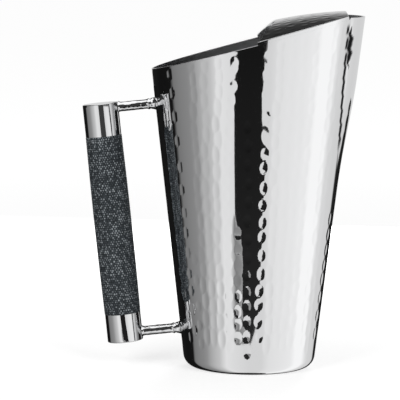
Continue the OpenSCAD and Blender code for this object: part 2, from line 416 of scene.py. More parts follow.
def white_floor():
    """A plain pale floor that keeps the shadow and is white to the camera, also far off."""
    material = bpy.data.materials.new("pale_floor")
    material.use_nodes = True
    tree = material.node_tree
    tree.nodes.clear()
    paint = add(tree, "ShaderNodeBsdfDiffuse", {"Color": FLOOR_COLOUR})
    sight = add(tree, "ShaderNodeLightPath").outputs["Is Camera Ray"]
    place = tree.nodes.new("ShaderNodeTexCoord").outputs["Object"]
    reach = add(tree, "ShaderNodeVectorMath", {0: place}, operation="LENGTH").outputs["Value"]
    level = add(tree, "ShaderNodeMapRange", {
        "Value": reach, "From Min": GLOW_REACH[0], "From Max": GLOW_REACH[1],
        "To Min": NEAR_GLOW, "To Max": FAR_GLOW}).outputs["Result"]
    strength = add(tree, "ShaderNodeMath", {0: sight, 1: level}, operation="MULTIPLY")
    glow = add(tree, "ShaderNodeEmission", {"Strength": strength.outputs[0]})
    both = add(tree, "ShaderNodeAddShader", {0: paint.outputs[0], 1: glow.outputs[0]})
    add(tree, "ShaderNodeOutputMaterial", {"Surface": both.outputs[0]})
    corners = [(FLOOR_HALF * x, FLOOR_HALF * y, 0) for x, y in
               ((-1, -1), (1, -1), (1, 1), (-1, 1))]
    floor = new_mesh("floor", corners, [[0, 1, 2, 3]], material)
    floor.visible_glossy = False


white_floor()
print("floor side in metres:", 2 * FLOOR_HALF)

# %% World
WORLD_LIGHT = 0.65
WORLD_SEEN = 0.98
WORLD_FOR_STEEL = 0.05


def studio_world():
    """White behind the pitcher, even light for the leather, dark to the steel."""
    world = bpy.data.worlds.new("studio")
    bpy.context.scene.world = world
    world.use_nodes = True
    tree = world.node_tree
    tree.nodes.clear()
    sight = add(tree, "ShaderNodeLightPath").outputs
    lit = add(tree, "ShaderNodeMix",
              {0: sight["Is Glossy Ray"], 2: WORLD_LIGHT, 3: WORLD_FOR_STEEL}, data_type="FLOAT")
    seen = add(tree, "ShaderNodeMix",
               {0: sight["Is Camera Ray"], 2: lit.outputs[0], 3: WORLD_SEEN}, data_type="FLOAT")
    light = add(tree, "ShaderNodeBackground", {"Strength": seen.outputs[0]})
    add(tree, "ShaderNodeOutputWorld", {"Surface": light.outputs[0]})


studio_world()
print("world light:", WORLD_LIGHT)

# %% Lamps
LAMP_AIM = Vector((0.0, 0.0, 0.12))
# Each lamp's place and side in metres, and its power in watts
LAMPS = {
    "left_lamp": ((-1.0, -1.4, 1.1), 0.9, 19.0),
    "right_lamp": ((1.0, -1.4, 1.1), 0.9, 15.0),
    "rear_lamp": ((0.15, 0.85, 0.16), 0.3, 9.0),
}


def soft_lamp(name, place, side, power):
    """A square lamp that looks at the pitcher and doesn't show in the steel."""
    data = bpy.data.lights.new(name, "AREA")
    data.size = side
    data.energy = power
    lamp = bpy.data.objects.new(name, data)
    lamp.location = place
    lamp.rotation_euler = (LAMP_AIM - Vector(place)).to_track_quat("-Z", "Y").to_euler()
    lamp.visible_glossy = False
    bpy.context.scene.collection.objects.link(lamp)


for name, (place, side, power) in LAMPS.items():
    soft_lamp(name, place, side, power)
bpy.context.scene.view_settings.view_transform = "Standard"
print("lamps:", len(LAMPS))

# %% [markdown]
# ## The polish, as one shared group
# No hand polish is perfectly even. Slow clouds change how clear the mirror is,
# and very fine lines from the polishing wheel break up the sharpest glints. All
# steel pieces share this effect, so it is a node group with its own inputs, and
# each steel gives it other values.

# %% Node group: traces of the polishing wheel
CLOUD_LOW = 0.35
CLOUD_HIGH = 0.75
LINE_STRETCH = (1.0, 1.0, 0.06)


def polish_group():
    """Puts out a colour, a roughness and a height that change over the surface."""
    group = bpy.data.node_groups.new("wheel_polish", "ShaderNodeTree")
    face = group.interface
    inputs = {
        "Clean": (0.88, 0.885, 0.89, 1.0), "Dull": (0.80, 0.81, 0.82, 1.0),
        "Cloud Scale": 14.0, "Line Scale": 900.0, "Clear": 0.03, "Hazy": 0.08,
    }
    for name, value in inputs.items():
        kind = "NodeSocketColor" if isinstance(value, tuple) else "NodeSocketFloat"
        socket = face.new_socket(name=name, in_out="INPUT", socket_type=kind)
        socket.default_value = value
    face.new_socket(name="Color", in_out="OUTPUT", socket_type="NodeSocketColor")
    face.new_socket(name="Roughness", in_out="OUTPUT", socket_type="NodeSocketFloat")
    face.new_socket(name="Height", in_out="OUTPUT", socket_type="NodeSocketFloat")
    given = add(group, "NodeGroupInput").outputs
    place = add(group, "ShaderNodeTexCoord").outputs["Object"]
    cloud = add(group, "ShaderNodeTexNoise",
                {"Vector": place, "Scale": given["Cloud Scale"], "Detail": 4.0}).outputs["Fac"]
    stretch = add(group, "ShaderNodeMapping", {"Vector": place, "Scale": LINE_STRETCH})
    lines = add(group, "ShaderNodeTexNoise", {
        "Vector": stretch.outputs[0], "Scale": given["Line Scale"], "Detail": 2.0})
    tint = add(group, "ShaderNodeMix", {0: cloud, 6: given["Clean"], 7: given["Dull"]},
               data_type="RGBA")
    haze = add(group, "ShaderNodeMapRange", {
        "Value": cloud, "From Min": CLOUD_LOW, "From Max": CLOUD_HIGH,
        "To Min": given["Clear"], "To Max": given["Hazy"]})
    add(group, "NodeGroupOutput", {
        "Color": tint.outputs[2], "Roughness": haze.outputs[0], "Height": lines.outputs["Fac"]})
    return group


wheel_polish = polish_group()
print("inputs of the polish:", len(wheel_polish.interface.items_tree))

# %% [markdown]
# ## Three mirror steels, a satin one and a plain one
# The wall, the guard and the handle's ends are the same stainless steel, but the
# wheel reaches them differently: the smooth ends are the clearest, the guard is a
# little hazier, and the inside of the wall is only satin. The tube inside the grip
# was never polished. Each material is a metallic Principled shader fed by the
# shared polish with its own values.

# %% Steel materials
LINE_DEPTH = 0.01 * MM
DULLED = 0.94


def steel(name, colour, clear, hazy, line_strength, cloud_scale=14.0):
    """A steel between a clear and a hazy polish."""
    material, tree, shader = new_material(name)
    polish = add(tree, "ShaderNodeGroup", node_tree=wheel_polish)
    polish.inputs["Clean"].default_value = (*colour, 1.0)
    polish.inputs["Dull"].default_value = (*(part * DULLED for part in colour), 1.0)
    polish.inputs["Cloud Scale"].default_value = cloud_scale
    polish.inputs["Clear"].default_value = clear
    polish.inputs["Hazy"].default_value = hazy
    bump = add(tree, "ShaderNodeBump", {
        "Strength": line_strength, "Distance": LINE_DEPTH, "Height": polish.outputs["Height"]})
    shader.inputs["Metallic"].default_value = 1.0
    tree.links.new(polish.outputs["Color"], shader.inputs["Base Color"])
    tree.links.new(polish.outputs["Roughness"], shader.inputs["Roughness"])
    tree.links.new(bump.outputs["Normal"], shader.inputs["Normal"])
    return material


hammered_steel = steel("hammered_steel", (0.89, 0.893, 0.9), 0.03, 0.06, 0.25)
guard_steel = steel("guard_steel", (0.885, 0.888, 0.895), 0.035, 0.07, 0.25)
polished_steel = steel("polished_steel", (0.89, 0.893, 0.9), 0.02, 0.05, 0.15)
satin_steel = steel("satin_steel", (0.70, 0.705, 0.715), 0.30, 0.38, 1.0, 20.0)
plain_steel = steel("plain_steel", (0.60, 0.61, 0.62), 0.28, 0.42, 1.0, 30.0)
print("steels:", sum(m.name.endswith("steel") for m in bpy.data.materials))

# %% [markdown]
# ## The wall, one spun and hammered sheet
# The outer face is a cone that leans out by 6.8 degrees, cut by a slanted plane,
# with a shallow spout pulled out between two creases. The same formulas shape the
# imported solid, so the dressed wall sits exactly on it.

# %% Sizes of the wall
FOOT_R = 45.75 * MM
MOUTH_H = 230 * MM
LEAN = math.radians(6.8)
RIM_SLOPE = math.radians(14.9)
SHEET_T = 1.0 * MM
HEEL_R = 9 * MM
HEEL_LIP_W = 1.5 * MM
SPOUT_REACH = 3.4 * MM
SPOUT_FOOT_H = 130 * MM
SPOUT_FULL_H = 208 * MM
SPOUT_TOP_A = math.radians(26.5)
SPOUT_FOOT_A = math.radians(17)
SHOULDER_A = math.radians(1.1)
LIP_DROP = 1.0 * MM
SEAM = 0.05 * MM
LEAN_K = math.tan(LEAN)
RIM_K = math.tan(RIM_SLOPE)


def wall_r(z, inset=0.0):
    """Radius of the round wall at a height, on its outer face or inset from it."""
    return FOOT_R + z * LEAN_K - inset / math.cos(LEAN)


def slope_z(turn, inset=0.0):
    """Height at which the slanted mouth cuts that face in a direction."""
    reach = RIM_K * np.cos(turn)
    return (MOUTH_H + reach * wall_r(0.0, inset)) / (1 - reach * LEAN_K)


def ease(share):
    """Smooth passage from 0 to 1."""
    share = np.clip(share, 0.0, 1.0)
    return share * share * (3 - 2 * share)


LIP_H = float(slope_z(0.0)) - LIP_DROP
HEEL_X = wall_r(HEEL_R, HEEL_R)
LIP_R = HEEL_X - HEEL_LIP_W
print("height of the spout's lip in mm:", round(LIP_H / MM, 1))

# %% The frame of the slanted mouth
MOUTH_BACK = np.array([-wall_r(slope_z(math.pi)), 0.0, slope_z(math.pi)])
MOUTH_FRONT = np.array([wall_r(slope_z(0.0)), 0.0, slope_z(0.0)])
MOUTH_MID = (MOUTH_BACK + MOUTH_FRONT) / 2
MOUTH_HALF_L = float(np.linalg.norm(MOUTH_FRONT - MOUTH_BACK)) / 2
MOUTH_HALF_W = float(wall_r(slope_z(math.pi / 2)))
MOUTH_AHEAD = np.array([math.cos(RIM_SLOPE), 0.0, math.sin(RIM_SLOPE)])
MOUTH_ABOVE = np.array([-math.sin(RIM_SLOPE), 0.0, math.cos(RIM_SLOPE)])
ASIDE = np.array([0.0, 1.0, 0.0])


def from_mouth(ahead, aside, above):
    """Points of the room from distances in the mouth's own frame."""
    ahead, aside, above = np.broadcast_arrays(ahead, aside, above)
    return (MOUTH_MID + ahead[..., None] * MOUTH_AHEAD
            + aside[..., None] * ASIDE + above[..., None] * MOUTH_ABOVE)


print("half length of the mouth in mm:", round(MOUTH_HALF_L / MM, 1))

# %% [markdown]
# ## One blow of the hammer at a time
# A displacement modifier with a texture could roughen the wall, but a real hammer
# leaves separate oval bowls, mostly under each other in columns. Each bowl turns
# the mirror image round, which is why the black band has light ovals along its
# edge. So every blow is worked out by itself. The columns at the front are listed
# one by one, as the photograph shows them, and the others go on round the wall.

# %% Places of the blows
BLOW_HALF_W = 2.85 * MM
BLOW_HALF_H = 4.4 * MM
BLOW_DEPTH = 0.17 * MM
BLOW_RISE = 11.6
CRISP = 0.14
WORN = 0.40
DRIFT_LOW = 130
DRIFT_HIGH = 225
LOW_HARDER = 0.9
LOW_HIGHEST = 82
LOW_FADE = 25
WIDTH_RANGE = (0.93, 1.07)
HEIGHT_RANGE = (0.92, 1.08)
DEPTH_RANGE = (0.85, 1.15)
FREE_BLOWS = 22
FREE_RISE_RANGE = (0.8, 1.2)
FREE_START_RANGE = (8, 16)
hand = np.random.default_rng(11)
blows = []


def strike(direction, heights, depth=1.0, tall=1.0, softness=CRISP, drift=0.0, stray=0.5):
    """Adds one column of blows. A drift leads its upper part to the right."""
    for height in heights:
        leaning = drift * float(ease((height - DRIFT_LOW) / (DRIFT_HIGH - DRIFT_LOW)))
        harder = 1 + LOW_HARDER * float(ease((LOW_HIGHEST - height) / LOW_FADE))
        blows.append((
            math.radians(direction + leaning + hand.uniform(-stray, stray)),
            height * MM,
            BLOW_HALF_W * hand.uniform(*WIDTH_RANGE),
            BLOW_HALF_H * tall * hand.uniform(*HEIGHT_RANGE),
            BLOW_DEPTH * depth * harder * hand.uniform(*DEPTH_RANGE),
            softness,
        ))


def free_heights():
    """Heights in millimetres for a column that isn't listed."""
    steps = BLOW_RISE * hand.uniform(*FREE_RISE_RANGE, FREE_BLOWS)
    return hand.uniform(*FREE_START_RANGE) + np.cumsum(steps)


print("a blow is", round(2 * BLOW_HALF_H / MM, 1), "mm tall")

# %% Columns of blows
RIGHT_COLUMN = -82.0
MIDDLE_COLUMN = -91.8
LEFT_COLUMN = -98.7
COLUMN_GAPS = 49
# Blows at the black band: direction, heights, and what differs from a common blow
BAND_BLOWS = [
    (RIGHT_COLUMN - 0.9, [39, 51, 61], {"stray": 0.2}),
    (RIGHT_COLUMN, [28, 73, 86, 99, 109, 121, 133, 147, 157], {"stray": 0.3}),
    (RIGHT_COLUMN + 0.5, [170], {"depth": 0.5, "tall": 1.4, "softness": WORN, "stray": 0.0}),
    (RIGHT_COLUMN + 0.8, [182], {"depth": 0.72, "stray": 0.0}),
    (RIGHT_COLUMN, [197, 210, 223], {"depth": 0.15}),
    (MIDDLE_COLUMN, [17, 28, 39, 50, 60, 72, 84, 97, 110, 123, 136, 149, 162, 175], {}),
    (LEFT_COLUMN, [27, 37, 46, 57], {}),
    (LEFT_COLUMN, [68, 79, 90, 101], {"depth": 0.4}),
]
# Columns that show in the dark edges left and right: number, heights and depth
EDGE_COLUMNS = {
    5: ([21, 34, 48, 66, 81], 1.0),
    6: ([30, 45, 58, 70, 85, 99, 113, 129, 145, 163, 180, 196, 209], 1.15),
    7: ([24, 39, 55, 72, 90, 108, 125, 142, 158, 173, 188, 202], 1.2),
    40: ([26, 39, 52, 65, 75, 86, 97, 108], 1.0),
}
# Degrees by which a column's upper part is led aside
DRIFTS = {1: 5.9, 2: 4.5, 3: 3.0, 4: 1.5, 6: -3.0, 7: -3.0}
BESIDE_BAND = 1
BESIDE_BAND_DEPTH = 0.6
BESIDE_BAND_SOFTNESS = 0.2
BESIDE_BAND_TOP = [219]
FREE_DEPTH_RANGE = (0.35, 0.7)
FREE_TALL_RANGE = (1.2, 1.7)
FREE_STRAY = 1.0

for direction, heights, settings in BAND_BLOWS:
    strike(direction, heights, **settings)
step = (360 - RIGHT_COLUMN + LEFT_COLUMN) / COLUMN_GAPS
for k in range(1, COLUMN_GAPS):
    turn = LEFT_COLUMN - step * k
    drift = DRIFTS.get(k, 0.0)
    if k in EDGE_COLUMNS:
        heights, depth = EDGE_COLUMNS[k]
        strike(turn, heights, depth=depth, drift=drift)
    elif k == BESIDE_BAND:
        soft = {"softness": BESIDE_BAND_SOFTNESS, "drift": drift}
        strike(turn, free_heights(), depth=BESIDE_BAND_DEPTH, **soft)
        strike(turn, BESIDE_BAND_TOP, stray=0.0, **soft)
    else:
        strike(turn, free_heights(), depth=hand.uniform(*FREE_DEPTH_RANGE),
               tall=hand.uniform(*FREE_TALL_RANGE), softness=WORN, drift=drift, stray=FREE_STRAY)
print("blows for the wall, some of them above its rim:", len(blows))

# %% Shape of a blow
def bowl(share, depth, softness):
    """Depth of one bowl at a squared share of its size, with a worn edge."""
    inside = 1 - share
    worn = np.clip(inside + softness, 0, None) ** 2 / (4 * softness)
    return depth * np.where(inside > softness, inside, worn)


def hammered_depth(turn, z):
    """How deep the hammer left the wall at each point: the deepest blow wins."""
    deepest = np.zeros(turn.shape)
    for direction, height, half_w, half_h, depth, softness in blows:
        near = np.abs(z - height) < 1.25 * half_h
        away = (turn[near] - direction + math.pi) % (2 * math.pi) - math.pi
        share = (away * wall_r(height) / half_w) ** 2 + ((z[near] - height) / half_h) ** 2
        deepest[near] = np.maximum(deepest[near], bowl(share, depth, softness))
    return deepest


print("deepest blow in mm:", round(max(blow[4] for blow in blows) / MM, 3))

# %% [markdown]
# ## Columns that follow the spout
# The two creases of the spout lean apart as they rise. If the columns of the net
# ran straight up, the creases would cut through the faces and look torn. So the
# columns between the creases spread with them, and the others share what is left.
# They crowd together near the creases and at the black band, where the mirror image
# changes fastest.

# %% Columns of the wall
BEAK_COLUMNS = 76
SHOULDER_COLUMNS = 4
ROUND_COLUMNS = 316
COLUMNS = BEAK_COLUMNS + 2 * SHOULDER_COLUMNS + ROUND_COLUMNS
BEAK_CROWDING = 0.7
CREASE_CROWD, CREASE_CROWD_W = 1.5, 0.05
FRONT_CROWD, FRONT_CROWD_W, FRONT_CROWD_AT = 1.3, 0.14, 0.58
even_share = np.linspace(-1, 1, 2001)
crowd = (1 + CREASE_CROWD * np.exp((np.abs(even_share) - 1) / CREASE_CROWD_W)
         + FRONT_CROWD * np.exp(-((even_share - FRONT_CROWD_AT) / FRONT_CROWD_W) ** 2))
crowd_sum = np.cumsum(crowd) - crowd / 2 - crowd[0] / 2
crowd_place = 2 * crowd_sum / crowd_sum[-1] - 1


def crease_a(z):
    """Half the angle of the spout at a height."""
    share = np.clip((z - SPOUT_FOOT_H) / (LIP_H - SPOUT_FOOT_H), 0.0, 1.0)
    return SPOUT_FOOT_A + (SPOUT_TOP_A - SPOUT_FOOT_A) * share


def column_a(place, z):
    """Direction of a column at a height. Columns start at the spout's right crease."""
    place = place % COLUMNS
    crease = crease_a(z)
    past = place - BEAK_COLUMNS
    even = np.clip(2 * place / BEAK_COLUMNS - 1, -1, 1)
    beak = crease * (even + BEAK_CROWDING * (even - even ** 3) / 2)
    first_shoulder = crease + SHOULDER_A * past / SHOULDER_COLUMNS
    opened = crease + SHOULDER_A
    even = np.clip(2 * (past - SHOULDER_COLUMNS) / ROUND_COLUMNS - 1, -1, 1)
    around = math.pi + (math.pi - opened) * np.interp(even, crowd_place, even_share)
    last = 2 * math.pi - crease - SHOULDER_A * (COLUMNS - place) / SHOULDER_COLUMNS
    return np.select(
        [past <= 0, past <= SHOULDER_COLUMNS, past <= SHOULDER_COLUMNS + ROUND_COLUMNS],
        [beak, first_shoulder, around], last)


def lip_share(place):
    """1 on the level lip of the spout, 0 on the slanted rim."""
    place = place % COLUMNS
    past = np.maximum(place - BEAK_COLUMNS, 0) / SHOULDER_COLUMNS
    left = np.where(place > BEAK_COLUMNS, (COLUMNS - place) / SHOULDER_COLUMNS, 0)
    return np.clip(1 - np.minimum(past, left), 0, 1)


def rim_z(place, inset):
    """Height of the rim at a column."""
    share = lip_share(place)
    return slope_z(column_a(place, LIP_H), inset) * (1 - share) + LIP_H * share


print("columns of the wall:", COLUMNS)

# %% [markdown]
# ## Chased creases
# Each crease was chased in short strokes of a narrow hammer, so its line has a small
# step about every ten millimetres, and near the rim a wider fold lies beside it. A
# straight groove would look machined. The same formula also says where the crease is
# painted dark: partly bare steel that the polishing wheel can't reach at the bottom
# of so narrow a line, and partly painted shade for the dark line the fold mirrors.

# %% Spout and creases
GROOVE_DEPTH = 0.28 * MM
GROOVE_HALF_W = 2.1 * MM
GROOVE_WANDER = 0.62 * MM
GROOVE_STROKE = 10.1 * MM
GROOVE_START = 0.5 * MM
GROOVE_OFF = 3.3 * MM
GROOVE_BREAKS = (226 * MM, 236.5 * MM)
GROOVE_BREAK_W = 1.3 * MM
GROOVE_LOW, GROOVE_LOW_FADE = 154 * MM, 10 * MM
GROOVE_HIGH, GROOVE_HIGH_FADE = 245.5 * MM, 4 * MM
GROOVE_LED_LOW, GROOVE_LED_OVER = 150 * MM, 55 * MM
FOLD_DEPTH = 0.30 * MM
FOLD_HALF_W = 3.2 * MM
FOLD_OFF = 1.9 * MM
FOLD_WANDER = 1.5
FOLD_LOW, FOLD_LOW_FADE = 211 * MM, 14 * MM
FOLD_HIGH, FOLD_HIGH_FADE = 245 * MM, 12 * MM
FOLD_LEAST = 0.05
MARKS_LOW, MARKS_LOW_FADE = 3 * MM, 5 * MM
MARKS_TOP_FADE = 1 / 60


def spout_pull(turn, z):
    """How far the spout is pulled out: full at its middle, none at its creases."""
    away = (turn + math.pi) % (2 * math.pi) - math.pi
    across = np.clip(away / crease_a(z), -1, 1)
    rise = ease((z - SPOUT_FOOT_H) / (SPOUT_FULL_H - SPOUT_FOOT_H))
    return SPOUT_REACH * rise * (1 - across * across)


def crease_lines(turn, z, edge):
    """How much of a crease is at each point: its chased line, and its fold at the rim."""
    away = (crease_a(z) - np.abs((turn + math.pi) % (2 * math.pi) - math.pi)) * wall_r(z)
    stroke = 2 * math.pi * (z - GROOVE_BREAKS[0]) / GROOVE_STROKE
    wander = -GROOVE_WANDER * (np.sin(stroke) + 0.5 * np.sin(2 * stroke))
    led = GROOVE_OFF * ease((z - GROOVE_LED_LOW) / GROOVE_LED_OVER) - GROOVE_START
    rise = ease((z - GROOVE_LOW) / GROOVE_LOW_FADE) * ease((GROOVE_HIGH - z) / GROOVE_HIGH_FADE)
    for height in GROOVE_BREAKS:
        rise = rise * (1 - np.exp(-((z - height) / GROOVE_BREAK_W) ** 2))
    line = rise * np.exp(-np.abs((away + led - wander) / GROOVE_HALF_W) ** edge)
    top = ease((z - FOLD_LOW) / FOLD_LOW_FADE) * ease((FOLD_HIGH - z) / FOLD_HIGH_FADE)
    width = FOLD_HALF_W * np.clip(top, 2 * FOLD_LEAST, 1)
    aside = (away - FOLD_OFF - FOLD_WANDER * wander) / width
    fold = (top > FOLD_LEAST) * np.exp(-np.abs(aside) ** edge)
    return line, fold


def groove(turn, z):
    """Depth of the crease's lines."""
    line, fold = crease_lines(turn, z, 2)
    return GROOVE_DEPTH * line + FOLD_DEPTH * fold


def crease_bare_and_shade(turn, z):
    """Where a crease is painted dark, from 0 to 1: bare steel the wheel never reached, and
    painted shade.
    """
    line, fold = crease_lines(turn, z, 6)
    return np.maximum(line, fold)


def sheet_point(place, along, inset, marks=1.0):
    """A point of the sheet. along runs 0 to 1 up the heel and 1 to 2 up the wall."""
    turn_up = np.clip(along, 0, 1) * (math.pi / 2 - LEAN)
    heel_r = HEEL_X + (HEEL_R - inset) * np.sin(turn_up)
    heel_z = HEEL_R - (HEEL_R - inset) * np.cos(turn_up)
    share = np.clip(along - 1, 0, 1)
    base = HEEL_R - (HEEL_R - inset) * math.sin(LEAN)
    wall_z = base + share * (rim_z(place, inset) - base)
    on_wall = along > 1
    z = np.where(on_wall, wall_z, heel_z)
    turn = column_a(place, share * LIP_H)
    radius = np.where(on_wall, wall_r(wall_z, inset) + spout_pull(turn, wall_z), heel_r)
    fade = ease((z - MARKS_LOW) / MARKS_LOW_FADE) * ease((2 - along) / MARKS_TOP_FADE)
    depth = fade * (marks * hammered_depth(turn, z) + groove(turn, z))
    radius = radius - depth * np.sin(turn_up)
    z = z + depth * np.cos(turn_up)
    return np.stack([radius * np.cos(turn), radius * np.sin(turn), z], -1)


print("creases are", round(2 * math.degrees(SPOUT_TOP_A), 1), "degrees apart at the rim")

# %% [markdown]
# ## One closed sheet
# The outer face, the rounded rim, the inner face and the lip under the heel join
# into one ring of rows, so the wall is a true sheet one millimetre thick. The
# marks show inside as low swellings, as they do on hammered sheet. The normals
# are worked out from the formula too, which keeps the mirror free of ripples that
# a coarser mesh would give it.

# %% Rows of the sheet
HEEL_ROWS = 8
WALL_ROWS = 200
INNER_ROWS = 20
INNER_CROWDING = 1.7
INNER_MARKS = 0.1
RIM_ROUND = 0.3 * MM
WELDED_ROUND = 0.01 * MM
RIM_TURNS = (0, 30, 60, 90)
RIM_IN = 0.002 * MM
GUARD_REAR = 1.6 * MM
NORMAL_STEP = 0.12
NORMAL_RISE = 0.0006
UPWARDS = np.array([0.0, 0.0, 1.0])
every_column = np.arange(COLUMNS, dtype=float)


def sheet_rows(along, inset, marks, outwards):
    """Rows of points and the true normals there, from small steps on the sheet."""
    place, along = np.meshgrid(every_column, along)
    points = sheet_point(place, along, inset, marks)
    low = np.clip(along - NORMAL_RISE, 0, 2)
    high = np.clip(along + NORMAL_RISE, 0, 2)
    across = (sheet_point(place + NORMAL_STEP, along, inset, marks)
              - sheet_point(place - NORMAL_STEP, along, inset, marks))
    up = sheet_point(place, high, inset, marks) - sheet_point(place, low, inset, marks)
    normals = np.cross(across, up) * outwards
    return points, normals / np.linalg.norm(normals, axis=-1, keepdims=True)


def rounded(top, inwards, soft, turns):
    """Rows round one edge of the rim, with their normals."""
    rows = [top + inwards * (soft * (1 - math.cos(turn)) + RIM_IN)
            + UPWARDS * soft * (math.sin(turn) - 1) for turn in turns]
    normals = [UPWARDS * math.sin(turn) - inwards * math.cos(turn) for turn in turns]
    return rows, normals


def rim_rows(outer_top, inner_top, outer_normal, inner_normal):
    """Rounded rim between both faces. It is sharp where the guard is welded on."""
    across = inner_top - outer_top
    inwards = across / np.linalg.norm(across, axis=-1, keepdims=True)
    ahead = (outer_top - MOUTH_MID) @ MOUTH_AHEAD
    welded = (ahead > GUARD_REAR) & (ahead < GUARD_FRONT)
    soft = np.where(welded, WELDED_ROUND, RIM_ROUND)[:, None]
    turns = np.radians(RIM_TURNS)
    outer_rows, outer_normals = rounded(outer_top, inwards, soft, turns)
    inner_rows, inner_normals = rounded(inner_top, -inwards, soft, turns[::-1])
    outer_normals[0], inner_normals[-1] = outer_normal, inner_normal
    return np.array(outer_rows + inner_rows), np.array(outer_normals + inner_normals)


def lip_row(height, normal):
    """The inner edge of the flat lip that the base plate is welded to."""
    turn = column_a(every_column, 0.0)
    ring = np.stack([LIP_R * np.cos(turn), LIP_R * np.sin(turn), np.full(COLUMNS, height)], -1)
    return ring[None], np.broadcast_to(normal, ring[None].shape)


print("rows of the wall:", HEEL_ROWS + WALL_ROWS)

# %% Body wall
POUR_GAP = 12.8 * MM
GUARD_FRONT = MOUTH_HALF_L + SPOUT_REACH - POUR_GAP
# Colour painted into the creases: bare steel, and painted shade of the fold
BARE_AND_SHADED_CREASE = (0.012, 0.012, 0.013, 1.0)


def make_body_wall():
    """The whole sheet as one piece, with two finishes and its creases painted dark, as bare steel
    and painted shade.
    """
    last = 2 - 2 * RIM_ROUND / MOUTH_H
    heel = np.linspace(0, 1, HEEL_ROWS, endpoint=False)
    outer, outer_n = sheet_rows(
        np.concatenate([heel, np.linspace(1, last, WALL_ROWS)]), 0.0, 1.0, 1.0)
    rise = 1 - np.linspace(1, 0, INNER_ROWS) ** INNER_CROWDING
    inner, inner_n = sheet_rows(
        np.concatenate([heel[::2], 1 + rise * (last - 1)])[::-1], SHEET_T, INNER_MARKS, -1.0)
    top = sheet_point(every_column, np.full(COLUMNS, 2.0), 0.0)
    inner_top = sheet_point(every_column, np.full(COLUMNS, 2.0), SHEET_T)
    rim, rim_n = rim_rows(top, inner_top, outer_n[-1], inner_n[0])
    low, low_n = lip_row(0.0, (0.0, 0.0, -1.0))
    high, high_n = lip_row(SHEET_T, (0.0, 0.0, 1.0))
    rows = np.concatenate([low, outer, rim, inner, high])
    normals = np.concatenate([low_n, outer_n, rim_n, inner_n, high_n])
    wall = ring_net("body_wall_hammered", rows, hammered_steel, normals)
    wall.data.materials.append(satin_steel)
    inside = np.arange(len(rows)) >= 1 + len(outer) + len(rim)
    wall.data.polygons.foreach_set("material_index", np.repeat(inside, COLUMNS).astype(np.int32))
    # Painted shade along the creases, together with their bare, never polished steel
    dark = crease_bare_and_shade(np.arctan2(rows[..., 1], rows[..., 0]), rows[..., 2])
    dark[inside] = 0
    store(wall, "bare_and_shaded", dark)
    return wall


def paint_creases_bare_and_shaded(material):
    """Paints shade into the creases: takes colour and mirror from the steel where the wall marks
    bare steel and painted shade.
    """
    tree = material.node_tree
    shader = tree.nodes["Principled BSDF"]
    polished = shader.inputs["Base Color"].links[0].from_socket
    # Painted shade and bare steel in the creases darken the colour and take away the mirror
    left = add(tree, "ShaderNodeAttribute", attribute_name="bare_and_shaded").outputs["Fac"]
    colour = add(tree, "ShaderNodeMix", {0: left, 6: polished, 7: BARE_AND_SHADED_CREASE}, data_type="RGBA")
    mirror = add(tree, "ShaderNodeMath", {0: 1.0, 1: left}, operation="SUBTRACT")
    tree.links.new(colour.outputs[2], shader.inputs["Base Color"])
    tree.links.new(mirror.outputs[0], shader.inputs["Metallic"])
    shader.inputs["Specular IOR Level"].default_value = 0.0


dress(make_body_wall(), "hammered_steel", "body_wall")
paint_creases_bare_and_shaded(hammered_steel)

# %% [markdown]
# ## The ice guard
# A half-moon plate with a low dome lies over the front of the mouth. Its turned
# down edge stands flush on the rim, its rear edge is a hollow curve, and its front
# is cut straight to leave a slot at the spout. A boolean cut of a sphere would
# give uneven faces that spoil a mirror, so the guard is woven as its own net.

# %% Sizes of the guard
GUARD_T = 1.0 * MM
CROWN_H = 11.5 * MM
GUARD_EDGE_H = 2.1 * MM
CROWN_AHEAD = 5.6 * MM
REAR_HOLLOW = 15 * MM
SIDE_GUESS_SHARE = 0.4
SETTLING_STEPS = 12
DOME_DROP = CROWN_H - GUARD_EDGE_H
DOME_R = (MOUTH_HALF_W ** 2 + DOME_DROP ** 2) / (2 * DOME_DROP)
REAR_R = (MOUTH_HALF_W ** 2 + REAR_HOLLOW ** 2) / (2 * REAR_HOLLOW)


def dome_h(ahead, aside, inset=0.0):
    """Height of the dome over the plane of the mouth."""
    radius = DOME_R - inset
    return CROWN_H - DOME_R + np.sqrt(radius ** 2 - (ahead - CROWN_AHEAD) ** 2 - aside ** 2)


def rear_ahead(aside):
    """Where the hollow rear edge lies."""
    return GUARD_REAR + REAR_HOLLOW - REAR_R + np.sqrt(REAR_R ** 2 - aside ** 2)


def side_at(ahead, above, inset):
    """Half the width at which the guard's side is flush with the wall."""
    place = from_mouth(ahead, 0.0, above)
    return np.sqrt(wall_r(place[..., 2], inset) ** 2 - place[..., 0] ** 2)


def dome_side(ahead, side_inset, top_inset):
    """Half the width of the dome itself, found in a few steps."""
    side = np.full(np.shape(ahead), SIDE_GUESS_SHARE * MOUTH_HALF_W)
    for _ in range(SETTLING_STEPS):
        side = side_at(ahead, dome_h(ahead, side, top_inset), side_inset)
    return side


def guard_corner():
    """How far ahead the rear edge ends at the side, and its half width there."""
    side = MOUTH_HALF_W
    for _ in range(SETTLING_STEPS):
        side = float(dome_side(rear_ahead(side), 0.0, 0.0))
    return float(rear_ahead(side)), side


CORNER_AHEAD, CORNER_SIDE = guard_corner()
print("radius of the dome in mm:", round(DOME_R / MM))

